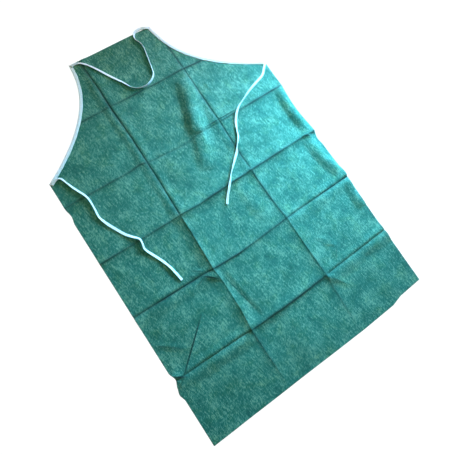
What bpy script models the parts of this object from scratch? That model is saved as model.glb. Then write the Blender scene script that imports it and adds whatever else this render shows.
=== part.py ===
"""Disposable apron of spunbond nonwoven, laid out flat with its outer face up.

The apron lies on the ground plane with its bib towards +Y. The origin is on the ground under the
middle of the outline. It was packed folded: once across its middle, then in thirds lengthwise, then
across again, so each fold is a ridge in some fields of the cloth and a valley in the others.
Lengths are in metres, apart from the fold heights, which are in millimetres.
"""

import math
from collections import namedtuple

import bmesh
import bpy
from mathutils import Vector
from mathutils.bvhtree import BVHTree

MM = 0.001

# Cloth and tape
WALL = 1.2 * MM  # thickness of the cloth
TAPE = 1.0 * MM  # thickness of one leaf of the binding tape
GAP = 0.3 * MM  # clearance between pieces that touch
SEAT = TAPE + GAP  # height of the cloth over the binding's lower leaf
LEAF = 9 * MM  # how far the binding reaches in from the armhole edge
RIBBON_WIDTH = 7.5 * MM  # the tape folded closed, as strap and ties
RIBBON_THICKNESS = 1.2 * MM

# Cut of the panel
HEM_Y = -0.556  # the hem's lowest point
BIB_Y = 0.557  # the bib's highest point

# The hand-cut hem and bib top, as points that straight cuts join from left to right.
CutPoint = namedtuple("CutPoint", "x y")
HEM_CUT = (
    CutPoint(-0.374, -0.548),
    CutPoint(-0.100, -0.552),
    CutPoint(0.136, HEM_Y),
    CutPoint(0.256, -0.554),
    CutPoint(0.292, -0.546),
    CutPoint(0.374, -0.543),
)
BIB_CUT = (
    CutPoint(-0.152, 0.552),
    CutPoint(0.118, BIB_Y),
)

# An armhole falls from the bib corner to the waist corner as a power curve.
# straight is the share of a straight line in it.
Armhole = namedtuple("Armhole", "name bib_x waist_x waist_y straight bend")
LEFT_ARMHOLE = Armhole("left", -0.152, -0.374, 0.262, 0.08, 2.35)
RIGHT_ARMHOLE = Armhole("right", 0.118, 0.374, 0.282, 0.20, 2.60)
ARMHOLES = (LEFT_ARMHOLE, RIGHT_ARMHOLE)

# Places where a side edge wanders in or out, as the cloth is crumpled there.
Nick = namedtuple("Nick", "armhole y half_length outward")
NICKS = (
    Nick(LEFT_ARMHOLE, 0.156, 0.026, -4 * MM),
    Nick(LEFT_ARMHOLE, -0.356, 0.022, -7 * MM),
    Nick(LEFT_ARMHOLE, -0.396, 0.022, 5 * MM),
    Nick(RIGHT_ARMHOLE, 0.110, 0.105, -7 * MM),
    Nick(RIGHT_ARMHOLE, -0.016, 0.028, -4 * MM),
    Nick(RIGHT_ARMHOLE, -0.152, 0.034, 5 * MM),
)

# Folds along the apron. A height above nought is a ridge that high, and one below nought a valley
# whose shoulders stand that high. The fields are named from the bib down.
LengthFold = namedtuple("LengthFold", "name bib_x hem_x reach bib chest waist hip knee hem")
LEFT_FOLD = LengthFold("left", -0.119, -0.131, 0.045, -2.0, -2.5, -3.0, 6.0, 6.5, 4.5)
RIGHT_FOLD = LengthFold("right", 0.134, 0.134, 0.045, -1.0, -2.0, -2.5, 6.0, 6.5, 3.0)
LENGTH_FOLDS = (LEFT_FOLD, RIGHT_FOLD)

# Folds across the apron, with a height for each third of its width.
CrossFold = namedtuple("CrossFold", "name y reach left middle right")
CHEST_FOLD = CrossFold("chest", 0.382, 0.035, 2.5, -1.5, 2.0)
WAIST_FOLD = CrossFold("waist", 0.184, 0.040, 3.0, -2.0, 3.5)
MIDDLE_FOLD = CrossFold("middle", 0.006, 0.045, 3.5, 5.5, 5.0)
HIP_FOLD = CrossFold("hip", -0.170, 0.045, -2.5, 5.0, -3.0)
KNEE_FOLD = CrossFold("knee", -0.368, 0.045, -3.0, 6.0, -3.5)
CROSS_FOLDS = (CHEST_FOLD, WAIST_FOLD, MIDDLE_FOLD, HIP_FOLD, KNEE_FOLD)
FOLD_END = 0.030  # over this length a fold fades in before a crossing and out after it

# Rounded waves and slack that lie at a slant or run along the right edge.
# bow moves the crest's middle to the left of the line from start to end.
SoftFold = namedtuple("SoftFold", "name start_x start_y end_x end_y bow reach height")
SOFT_FOLDS = (
    SoftFold("bib slack", 0.131, 0.384, 0.027, 0.109, 0.002, 0.050, 5.5),
    SoftFold("waist edge wave", 0.358, 0.184, 0.358, 0.010, -0.010, 0.036, 7.0),
    SoftFold("middle edge wave", 0.342, 0.004, 0.374, -0.162, -0.012, 0.036, 7.0),
    SoftFold("hip edge wave", 0.374, -0.172, 0.362, -0.264, -0.008, 0.030, 5.0),
    SoftFold("knee pinch", -0.366, -0.372, -0.212, -0.250, 0.000, 0.024, 4.0),
)

# Near an armhole the cloth lies level on the binding, and farther in it takes on its folds.
LEVEL_REACH = 0.018
FOLDED_REACH = 0.045

# The cloth's grid: shares of a field where its lines run, close together beside the folds.
FIELD_LINES = (0.05, 0.12, 0.22, 0.38, 0.62, 0.78, 0.88, 0.95, 1.0)
ABOVE_WAIST_FOLD_LINES = (0.15, 0.38, 0.68, 1.0)
ARMHOLE_LINES = (0.14, 0.28, 0.42, 0.56, 0.70, 0.86, 1.0)
BIB_LINES = (0.07, 0.17, 0.29, 0.43, 0.58, 0.73, 0.87, 1.0)
RIGHT_SPAN_IN_BIB = 0.030  # the right third keeps at least this width beside the armhole

# Routes of the strap and the ties, seen from above. roll is how far the ribbon leans from flat, in
# degrees. Below nought the edge on the right of the way that the route runs is the higher one.
RoutePoint = namedtuple("RoutePoint", "x y roll")
NECK_STRAP_ROUTE = (
    RoutePoint(-0.149, 0.544, 0),
    RoutePoint(-0.136, 0.547, -10),
    RoutePoint(-0.117, 0.538, -25),
    RoutePoint(-0.093, 0.507, -30),
    RoutePoint(-0.069, 0.466, -20),
    RoutePoint(-0.047, 0.431, -35),
    RoutePoint(-0.035, 0.407, -60),
    RoutePoint(-0.019, 0.393, -75),
    RoutePoint(0.005, 0.388, -90),
    RoutePoint(0.028, 0.396, -110),
    RoutePoint(0.045, 0.411, -115),
    RoutePoint(0.051, 0.431, -110),
    RoutePoint(0.059, 0.466, -105),
    RoutePoint(0.066, 0.500, -105),
    RoutePoint(0.065, 0.519, -115),
    RoutePoint(0.059, 0.532, -120),
    RoutePoint(0.060, 0.546, -120),
    RoutePoint(0.071, 0.558, -135),
    RoutePoint(0.092, 0.561, -160),
    RoutePoint(0.114, 0.553, -180),
)
LEFT_TIE_ROUTE = (
    RoutePoint(-0.370, 0.257, 0),
    RoutePoint(-0.354, 0.265, -10),
    RoutePoint(-0.341, 0.262, -45),
    RoutePoint(-0.334, 0.244, -55),
    RoutePoint(-0.324, 0.217, -40),
    RoutePoint(-0.311, 0.188, -45),
    RoutePoint(-0.307, 0.168, -55),
    RoutePoint(-0.308, 0.141, -60),
    RoutePoint(-0.310, 0.116, -50),
    RoutePoint(-0.304, 0.094, -25),
    RoutePoint(-0.291, 0.065, -12),
    RoutePoint(-0.277, 0.038, -12),
    RoutePoint(-0.263, 0.020, -35),
    RoutePoint(-0.251, 0.006, -50),
    RoutePoint(-0.251, -0.010, -60),
    RoutePoint(-0.254, -0.025, -50),
    RoutePoint(-0.246, -0.046, -30),
    RoutePoint(-0.233, -0.075, -22),
    RoutePoint(-0.224, -0.101, -35),
    RoutePoint(-0.219, -0.126, -28),
    RoutePoint(-0.215, -0.151, -20),
)
RIGHT_TIE_ROUTE = (
    RoutePoint(0.370, 0.277, 0),
    RoutePoint(0.355, 0.262, -5),
    RoutePoint(0.338, 0.247, -5),
    RoutePoint(0.303, 0.235, -20),
    RoutePoint(0.266, 0.221, -45),
    RoutePoint(0.232, 0.205, -70),
    RoutePoint(0.210, 0.194, -50),
    RoutePoint(0.191, 0.178, -25),
    RoutePoint(0.175, 0.157, -10),
    RoutePoint(0.163, 0.134, -50),
    RoutePoint(0.154, 0.114, -45),
    RoutePoint(0.134, 0.091, -70),
    RoutePoint(0.122, 0.076, -15),
    RoutePoint(0.098, 0.054, -40),
    RoutePoint(0.071, 0.030, -72),
    RoutePoint(0.048, 0.005, -35),
    RoutePoint(0.026, -0.019, -15),
    RoutePoint(0.009, -0.041, -10),
)
ROUTE_STEP = 8 * MM  # distance between a ribbon's stations

Finish = namedtuple("Finish", "name colour roughness")
GREEN_NONWOVEN = Finish("green_nonwoven", (0.040, 0.290, 0.250, 1.0), 0.80)
WHITE_TAPE = Finish("white_tape", (0.800, 0.830, 0.850, 1.0), 0.75)


def smooth_step(value):
    """Rises from 0 to 1 as value does, level at both ends."""
    value = min(max(value, 0.0), 1.0)
    return value * value * (3 - 2 * value)


def blend(low, high, share):
    """The number that lies at a share of the way from low to high."""
    return low + (high - low) * share


# Outline of the panel


def side_x(armhole, y):
    """Where the armhole's edge, and below it the side edge, lies at a height on the apron."""
    if y > armhole.waist_y:
        fall = (BIB_Y - y) / (BIB_Y - armhole.waist_y)
        share = armhole.straight * fall + (1 - armhole.straight) * fall**armhole.bend
        return blend(armhole.bib_x, armhole.waist_x, share)
    outward = 0.0
    for nick in NICKS:
        if nick.armhole is armhole and abs(y - nick.y) < nick.half_length:
            outward += nick.outward * math.cos(math.pi / 2 * (y - nick.y) / nick.half_length) ** 2
    return math.copysign(abs(armhole.waist_x) + outward, armhole.waist_x)


def cut_y(cut, x):
    """Height on the apron of a cut edge at a place across it."""
    for start, end in zip(cut, cut[1:]):
        if x <= end.x:
            break
    return blend(start.y, end.y, (x - start.x) / (end.x - start.x))


def panel_point(x, y):
    """Moves a grid point so that the top and bottom rows follow the cut edges."""
    if y > CHEST_FOLD.y:
        y += (cut_y(BIB_CUT, x) - BIB_Y) * (y - CHEST_FOLD.y) / (BIB_Y - CHEST_FOLD.y)
    elif y < KNEE_FOLD.y:
        y += (cut_y(HEM_CUT, x) - HEM_Y) * (KNEE_FOLD.y - y) / (KNEE_FOLD.y - HEM_Y)
    return x, y


def length_fold_x(fold, y):
    """Where a lengthwise fold lies at a height on the apron."""
    return blend(fold.hem_x, fold.bib_x, (y - HEM_Y) / (BIB_Y - HEM_Y))


def row_heights():
    """The y of each grid row, from the hem to the bib's top edge."""
    fields = (
        (KNEE_FOLD.y, FIELD_LINES),
        (HIP_FOLD.y, FIELD_LINES),
        (MIDDLE_FOLD.y, FIELD_LINES),
        (WAIST_FOLD.y, FIELD_LINES),
        (LEFT_ARMHOLE.waist_y, ABOVE_WAIST_FOLD_LINES),
        (RIGHT_ARMHOLE.waist_y, (1.0,)),
        (CHEST_FOLD.y, ARMHOLE_LINES),
        (BIB_Y, BIB_LINES),
    )
    rows = [HEM_Y]
    for top, lines in fields:
        bottom = rows[-1]
        rows += [blend(bottom, top, share) for share in lines]
    return rows


def row_places(y):
    """The x of each grid point in a row: three thirds, parted by the lengthwise folds."""
    right = side_x(RIGHT_ARMHOLE, y)
    knots = (
        side_x(LEFT_ARMHOLE, y),
        length_fold_x(LEFT_FOLD, y),
        min(length_fold_x(RIGHT_FOLD, y), right - RIGHT_SPAN_IN_BIB),
        right,
    )
    places = [knots[0]]
    for start, end in zip(knots, knots[1:]):
        places += [blend(start, end, share) for share in FIELD_LINES]
    return places


def armhole_edge(armhole):
    """The panel's edge points along an armhole, from the waist corner to the bib corner."""
    return [
        Vector(panel_point(side_x(armhole, y), y))
        for y in row_heights()
        if y >= armhole.waist_y
    ]


# Height of the cloth's underside above the ground


def fold_height(distance, reach, height):
    """A ridge is highest on its line. A valley is nought there, between two low shoulders."""
    share = abs(distance) / reach
    if share >= 1:
        return 0.0
    if height > 0:
        return height * (1 - share) ** 2
    return -height * 6.75 * share * (1 - share) ** 2


def fold_weight(place, start, end):
    """1 between start and end, fading across them; an end at infinity doesn't fade."""
    rise = smooth_step((place - start + FOLD_END) / (2 * FOLD_END)) if math.isfinite(start) else 1
    fall = smooth_step((end + FOLD_END - place) / (2 * FOLD_END)) if math.isfinite(end) else 1
    return rise * fall


def length_folds_height(x, y):
    """Height that the two lengthwise folds give, field by field."""
    ends = (math.inf, *(fold.y for fold in CROSS_FOLDS), -math.inf)
    total = 0.0
    for fold in LENGTH_FOLDS:
        heights = (fold.bib, fold.chest, fold.waist, fold.hip, fold.knee, fold.hem)
        for top, bottom, height in zip(ends, ends[1:], heights):
            shape = fold_height(x - length_fold_x(fold, y), fold.reach, height)
            total += shape * fold_weight(y, bottom, top)
    return total


def cross_folds_height(x, y):
    """Height that the folds across the apron give, third by third."""
    left, right = (length_fold_x(fold, y) for fold in LENGTH_FOLDS)
    total = 0.0
    for fold in CROSS_FOLDS:
        thirds = (
            (-math.inf, left, fold.left),
            (left, right, fold.middle),
            (right, math.inf, fold.right),
        )
        for start, end, height in thirds:
            shape = fold_height(y - fold.y, fold.reach, height)
            total += shape * fold_weight(x, start, end)
    return total


def soft_folds_height(x, y):
    """Height of the rounded folds, each a mound along a bowed line that sinks to its ends."""
    total = 0.0
    for fold in SOFT_FOLDS:
        along = Vector((fold.end_x - fold.start_x, fold.end_y - fold.start_y))
        length = along.length
        along.normalize()
        offset = Vector((x - fold.start_x, y - fold.start_y))
        share = offset.dot(along) / length
        if not 0 < share < 1:
            continue
        rise = math.sin(math.pi * share)
        across = (along.x * offset.y - along.y * offset.x - fold.bow * rise) / fold.reach
        if abs(across) < 1:
            total += fold.height * math.sqrt(rise) * (1 - across**2) ** 2
    return total


def armhole_distance(edges, x, y):
    """Distance from a point to the nearer armhole edge."""
    point = Vector((x, y))
    nearest = math.inf
    for edge in edges:
        for start, end in zip(edge, edge[1:]):
            along = end - start
            share = min(max((point - start).dot(along) / along.length_squared, 0.0), 1.0)
            nearest = min(nearest, (point - start - along * share).length)
    return nearest


def cloth_height(edges, x, y):
    """Height of the cloth's underside: level on the bindings, and folded farther in."""
    distance = armhole_distance(edges, x, y)
    folded = smooth_step((distance - LEVEL_REACH) / (FOLDED_REACH - LEVEL_REACH))
    folds = length_folds_height(x, y) + cross_folds_height(x, y) + soft_folds_height(x, y)
    return blend(SEAT, folds * MM, folded)


# Pieces


def make_material(finish):
    """A plain Principled material of the finish's colour."""
    material = bpy.data.materials.new(finish.name)
    material.use_nodes = True
    shader = material.node_tree.nodes["Principled BSDF"]
    shader.inputs["Base Color"].default_value = finish.colour
    shader.inputs["Roughness"].default_value = finish.roughness
    shader.inputs["Metallic"].default_value = 0.0
    return material


def add_piece(name, data, material, collection):
    """Puts mesh or curve data into the apron's collection as a named object."""
    piece = bpy.data.objects.new(name, data)
    data.materials.append(material)
    collection.objects.link(piece)
    return piece


def add_panel(material, collection):
    """The cloth: an open grid shaped by its outline and folds, thickened upwards."""
    edges = [armhole_edge(armhole) for armhole in ARMHOLES]
    rows = row_heights()
    columns = len(row_places(HEM_Y)) - 1
    form = bmesh.new()
    bmesh.ops.create_grid(form, x_segments=columns, y_segments=len(rows) - 1, size=1.0)
    for vertex in form.verts:
        column = round((vertex.co.x + 1) / 2 * columns)
        row = round((vertex.co.y + 1) / 2 * (len(rows) - 1))
        x, y = panel_point(row_places(rows[row])[column], rows[row])
        vertex.co = (x, y, cloth_height(edges, x, y))
    bmesh.ops.triangulate(form, faces=form.faces)
    mesh = bpy.data.meshes.new("apron_panel")
    form.to_mesh(mesh)
    form.free()
    panel = add_piece("apron_panel", mesh, material, collection)
    wall = panel.modifiers.new("wall", "SOLIDIFY")
    wall.thickness = WALL
    wall.offset = 1.0
    return panel


def binding_section():
    """The folded tape's section as (inward, up) points, from the lower leaf round to the upper."""
    upper = SEAT + WALL + GAP
    top = upper + TAPE
    outer = -GAP - TAPE
    bevel = 0.8 * TAPE
    return (
        (LEAF, 0.0),
        (LEAF, TAPE),
        (-GAP, TAPE),
        (-GAP, upper),
        (LEAF, upper),
        (LEAF, top),
        (outer + bevel, top),
        (outer, top - bevel),
        (outer, bevel),
        (outer + bevel, 0.0),
    )


def add_binding(armhole, material, collection):
    """Tape folded over an armhole edge: its section carried along the edge with mitred corners."""
    edge = armhole_edge(armhole)
    inward_side = math.copysign(1, armhole.waist_x)
    form = bmesh.new()
    rings = []
    for index, point in enumerate(edge):
        before = edge[max(index - 1, 0)]
        after = edge[min(index + 1, len(edge) - 1)]
        arriving = (point - before).normalized() if index else (after - point).normalized()
        leaving = (after - point).normalized() if after != point else arriving
        normals = [Vector((-way.y, way.x)) * inward_side for way in (arriving, leaving)]
        inward = (normals[0] + normals[1]).normalized()
        inward /= inward.dot(normals[0])
        ring = []
        for reach, up in binding_section():
            place = point + inward * reach
            ring.append(form.verts.new((place.x, place.y, up)))
        rings.append(ring)
    for ring, following in zip(rings, rings[1:]):
        for corner in range(len(ring)):
            before = corner - 1
            form.faces.new((ring[before], ring[corner], following[corner], following[before]))
    form.faces.new(rings[0])
    form.faces.new(rings[-1])
    bmesh.ops.recalc_face_normals(form, faces=form.faces)
    mesh = bpy.data.meshes.new(f"binding_{armhole.name}")
    form.to_mesh(mesh)
    form.free()
    return add_piece(f"binding_{armhole.name}", mesh, material, collection)


def smooth_route(route):
    """Stations at even distances along a Catmull-Rom curve through the route's points."""
    points = [Vector(point) for point in route]
    points = [2 * points[0] - points[1], *points, 2 * points[-1] - points[-2]]
    curve = []
    for p0, p1, p2, p3 in zip(points, points[1:], points[2:], points[3:]):
        pieces = 24
        for piece in range(pieces):
            t = piece / pieces
            curve.append(
                0.5 * (2 * p1 + (p2 - p0) * t)
                + 0.5 * (2 * p0 - 5 * p1 + 4 * p2 - p3) * t**2
                + 0.5 * (3 * p1 - p0 - 3 * p2 + p3) * t**3
            )
    curve.append(points[-2])
    travelled = [0.0]
    for start, end in zip(curve, curve[1:]):
        travelled.append(travelled[-1] + (end - start).xy.length)
    count = round(travelled[-1] / ROUTE_STEP)
    stations = []
    nearest = 0
    for step in range(count + 1):
        goal = travelled[-1] * step / count
        while nearest < len(curve) - 2 and travelled[nearest + 1] < goal:
            nearest += 1
        share = (goal - travelled[nearest]) / (travelled[nearest + 1] - travelled[nearest])
        stations.append(curve[nearest].lerp(curve[nearest + 1], share))
    return stations


def ribbon_half_height(roll):
    """Half of the height that a ribbon takes when it leans by a roll in degrees."""
    lean = math.radians(roll)
    return RIBBON_WIDTH / 2 * abs(math.sin(lean)) + RIBBON_THICKNESS / 2 * abs(math.cos(lean))


def support_height(trees, x, y):
    """Top of the pieces under a point, or the ground."""
    top = 0.0
    for tree in trees:
        hit = tree.ray_cast(Vector((x, y, 1.0)), Vector((0, 0, -1)))[0]
        if hit is not None:
            top = max(top, hit.z)
    return top


def ribbon_heights(stations, trees):
    """Height of a ribbon's middle at each station, just clear of everything under it."""
    supports = []
    for index, station in enumerate(stations):
        before = stations[max(index - 1, 0)]
        after = stations[min(index + 1, len(stations) - 1)]
        ahead = (after - before).xy.normalized()
        aside = Vector((-ahead.y, ahead.x))
        lean = math.radians(station.z)
        half = RIBBON_WIDTH / 2 * abs(math.cos(lean)) + RIBBON_THICKNESS / 2 * abs(math.sin(lean))
        tops = []
        for along in (-0.5, 0.0, 0.5):
            for across in (-1.1, -0.5, 0.0, 0.5, 1.1):
                place = station.xy + ahead * along * ROUTE_STEP + aside * across * half
                tops.append(support_height(trees, place.x, place.y))
        supports.append(max(tops))
    last = len(stations) - 1
    highest = [max(supports[max(i - 2, 0) : i + 3]) for i in range(last + 1)]
    heights = []
    for index, station in enumerate(stations):
        nearby = highest[max(index - 1, 0) : index + 2]
        heights.append(sum(nearby) / len(nearby) + GAP + ribbon_half_height(station.z))
    return heights


def add_ribbon_profile(collection):
    """The folded tape's flat section, swept along the strap and the ties."""
    profile = bpy.data.curves.new("ribbon_profile", "CURVE")
    profile.dimensions = "2D"
    spline = profile.splines.new("POLY")
    half_width = RIBBON_WIDTH / 2
    half_thickness = RIBBON_THICKNESS / 2
    corners = (
        (-half_width, -half_thickness),
        (-half_width, half_thickness),
        (half_width, half_thickness),
        (half_width, -half_thickness),
    )
    spline.points.add(len(corners) - 1)
    for point, (across, up) in zip(spline.points, corners):
        point.co = (across, up, 0.0, 1.0)
    spline.use_cyclic_u = True
    guide = bpy.data.objects.new("ribbon_profile", profile)
    guide.hide_render = True
    guide.display_type = "WIRE"
    collection.objects.link(guide)
    return guide


def add_ribbon(name, route, profile, supports, material, collection):
    """A ribbon that lies on the pieces in supports along its route, flat or leaning on its edge."""
    depsgraph = bpy.context.evaluated_depsgraph_get()
    trees = [BVHTree.FromObject(piece, depsgraph) for piece in supports]
    stations = smooth_route(route)
    heights = ribbon_heights(stations, trees)
    curve = bpy.data.curves.new(name, "CURVE")
    curve.dimensions = "3D"
    curve.twist_mode = "Z_UP"
    curve.bevel_mode = "OBJECT"
    curve.bevel_object = profile
    curve.use_fill_caps = True
    spline = curve.splines.new("POLY")
    spline.points.add(len(stations) - 1)
    for point, station, height in zip(spline.points, stations, heights):
        point.co = (station.x, station.y, height, 1.0)
        point.tilt = math.radians(station.z)
    return add_piece(name, curve, material, collection)


def main():
    """Builds the apron's six pieces."""
    for old in list(bpy.data.objects):
        bpy.data.objects.remove(old)
    apron = bpy.data.collections.new("disposable_apron")
    guides = bpy.data.collections.new("guides")
    bpy.context.scene.collection.children.link(apron)
    bpy.context.scene.collection.children.link(guides)
    green = make_material(GREEN_NONWOVEN)
    white = make_material(WHITE_TAPE)

    panel = add_panel(green, apron)
    left_binding, right_binding = (add_binding(armhole, white, apron) for armhole in ARMHOLES)
    profile = add_ribbon_profile(guides)
    bpy.context.view_layer.update()
    ribbons = (
        ("neck_strap", NECK_STRAP_ROUTE, (panel, left_binding, right_binding)),
        ("tie_left", LEFT_TIE_ROUTE, (panel, left_binding)),
        ("tie_right", RIGHT_TIE_ROUTE, (panel, right_binding)),
    )
    for name, route, supports in ribbons:
        add_ribbon(name, route, profile, supports, white, apron)


main()
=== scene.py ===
"""Looks of a disposable apron of spunbond nonwoven, laid out flat and lit from its right side.

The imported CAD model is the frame. Every piece here is a surface worked out with numpy in the
frame's own metres, with the bib towards +Y and the floor at z = 0, and stands for a CAD node.
Lengths are in metres, apart from fold heights, which are in millimetres as their names say.
East and north are the ways that x and y grow.
"""

import logging
import math
from collections.abc import Callable, Iterable, Iterator
from dataclasses import dataclass
from enum import Enum
from typing import Any, NamedTuple, TypeVar

import bpy
import numpy as np
from mathutils import Matrix, Vector


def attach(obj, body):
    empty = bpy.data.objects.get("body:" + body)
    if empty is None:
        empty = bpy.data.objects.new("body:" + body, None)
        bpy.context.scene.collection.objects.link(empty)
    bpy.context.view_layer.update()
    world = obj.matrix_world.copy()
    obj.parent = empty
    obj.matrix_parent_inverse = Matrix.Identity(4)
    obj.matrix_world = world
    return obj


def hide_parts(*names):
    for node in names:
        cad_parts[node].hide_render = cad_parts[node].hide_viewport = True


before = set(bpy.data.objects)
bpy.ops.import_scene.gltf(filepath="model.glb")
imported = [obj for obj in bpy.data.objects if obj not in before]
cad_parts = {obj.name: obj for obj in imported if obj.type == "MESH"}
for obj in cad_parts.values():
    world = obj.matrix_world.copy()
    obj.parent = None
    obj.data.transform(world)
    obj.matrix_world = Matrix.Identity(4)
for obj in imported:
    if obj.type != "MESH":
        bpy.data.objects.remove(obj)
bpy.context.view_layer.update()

MM = 0.001
FAR = 9.0  # farther than any place on the apron
BODY = "root"  # cloth has no joints, so the apron is one body

Array = np.ndarray
Piece = bpy.types.Object
Material = bpy.types.Material
Tree = bpy.types.NodeTree
Socket = bpy.types.NodeSocket
Row = TypeVar("Row")
log = logging.getLogger("apron")


# Arrays and meshes


def rows_of(kind: Callable[..., Row], *rows: tuple[Any, ...]) -> tuple[Row, ...]:
    """Makes one of a kind from each row of values."""
    return tuple(kind(*row) for row in rows)


def smooth_step(value: Array) -> Array:
    """Rises from 0 to 1 as value does, level at both ends: 3v^2 - 2v^3."""
    value = np.clip(value, 0.0, 1.0)
    return value * value * (3 - 2 * value)


def blend(low: Array | float, high: Array | float, share: Array) -> Array:
    """Goes in a straight line from low to high as share goes from 0 to 1."""
    return low + (high - low) * share


def unit(vectors: Array) -> Array:
    """Vectors along the last axis, each divided by its own length."""
    return vectors / np.linalg.norm(vectors, axis=-1, keepdims=True)


def along_line(points: Array) -> Array:
    """Distance travelled along a line of points, from 0 at the first of them."""
    steps = np.linalg.norm(np.diff(points, axis=0), axis=-1)
    return np.concatenate([[0.0], np.cumsum(steps)])


def read_off(values: Array, travelled: Array, goals: Array) -> Array:
    """Rows of values along a line, read off between its points at the goals' distances."""
    return np.stack([np.interp(goals, travelled, column) for column in values.T], axis=-1)


def grid_quads(rows: int, columns: int, closed: bool) -> Array:
    """Quads between the points of a grid that is stored row by row.

    Args:
        rows: number of rows of points.
        columns: number of points in a row.
        closed: whether each row runs round, so that its last point joins its first.

    Returns:
        Point numbers, four to a quad: along the row, up, and back.
    """
    row = np.arange(rows - 1)[:, None] * columns
    column = np.arange(columns if closed else columns - 1)[None, :]
    after = (column + 1) % columns
    corners = (row + column, row + after, row + columns + after, row + columns + column)
    return np.stack(corners, axis=-1).reshape(-1, 4)


def add_mesh(name: str, points: Array, faces: list[Any], places: Array | None = None) -> Piece:
    """Makes a smooth-shaded mesh object at the origin.

    Args:
        name: the object's name.
        points: an array of places, three numbers to a point.
        faces: point numbers of each face, counter-clockwise from outside.
        places: where each point lies on the flat material in metres, for the UV map.

    Returns:
        The new object, linked to the scene.
    """
    mesh = bpy.data.meshes.new(name)
    mesh.from_pydata(points.reshape(-1, 3).tolist(), [], faces)
    mesh.polygons.foreach_set("use_smooth", np.ones(len(mesh.polygons), bool))
    if places is not None:
        corners = np.empty(len(mesh.loops), np.int32)
        mesh.loops.foreach_get("vertex_index", corners)
        layer = mesh.uv_layers.new(name="flat")
        layer.data.foreach_set("uv", places.reshape(-1, 2)[corners].ravel())
    mesh.update()
    piece = bpy.data.objects.new(name, mesh)
    bpy.context.scene.collection.objects.link(piece)
    return piece


def dress(piece: Piece, material: Material) -> None:
    """Gives a piece its material and lets it ride with the apron.

    Args:
        piece: the piece.
        material: what it is made of.
    """
    piece.data.materials.append(material)
    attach(piece, BODY)


# Finishes


def linear(colour: str) -> tuple[float, float, float, float]:
    """Turns an sRGB hex colour to linear: the power curve of 2.4, straight near black.

    Args:
        colour: the colour, as a hash and six hex digits.

    Returns:
        Its red, green and blue, and 1 for full cover.
    """
    shares = [int(colour[start : start + 2], 16) / 255 for start in (1, 3, 5)]
    parts = [s / 12.92 if s <= 0.04045 else ((s + 0.055) / 1.055) ** 2.4 for s in shares]
    return (*parts, 1.0)


def feed(node: bpy.types.Node, inputs: dict[str | int, Any]) -> None:
    """Gives each input of a node the socket that feeds it or the value that it holds.

    Args:
        node: the node.
        inputs: the socket or the value for each input, by its name or number.
    """
    for name, value in inputs.items():
        if isinstance(value, Socket):
            node.id_data.links.new(value, node.inputs[name])
        else:
            node.inputs[name].default_value = value


def add_node(
    tree: Tree,
    kind: str,
    inputs: dict[str | int, Any],
    output: str | int = 0,
    stops: tuple[tuple[float, str], ...] = (),
    **settings: Any,
) -> Socket:
    """Adds a shader node with its settings and links.

    Args:
        tree: the node tree that gets it.
        kind: Blender's name for the node's type, without its prefix.
        inputs: for each input, the socket that feeds it or the value that it holds.
        output: the name or number of the wanted output.
        stops: a colour ramp's stops, each a place from 0 to 1 and an sRGB hex colour.
        settings: the node's own properties.

    Returns:
        The output's socket.
    """
    node = tree.nodes.new("ShaderNode" + kind)
    for name, value in settings.items():
        setattr(node, name, value)
    feed(node, inputs)
    if stops:
        elements = node.color_ramp.elements
        for _ in stops[2:]:  # a new ramp has two
            elements.new(0.5)
        for element, (place, colour) in zip(elements, stops):
            element.position = place
            element.color = linear(colour)
    return node.outputs[output]


def start_material(name: str) -> tuple[Material, Tree, bpy.types.Node]:
    """Makes a material with nodes and returns it with its tree and its Principled shader.

    Args:
        name: what the material is called.

    Returns:
        The material, its node tree and its shader.
    """
    material = bpy.data.materials.new(name)
    material.use_nodes = True
    tree = material.node_tree
    return material, tree, tree.nodes["Principled BSDF"]


class Crease(NamedTuple):
    """A short sharp crease: a ridge above nought millimetres, or a groove below."""

    x: float
    y: float
    end_x: float
    end_y: float
    reach: float
    height_mm: float
    painted_shade: float = 0.0  # how dark the shade painted along its line is


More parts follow.
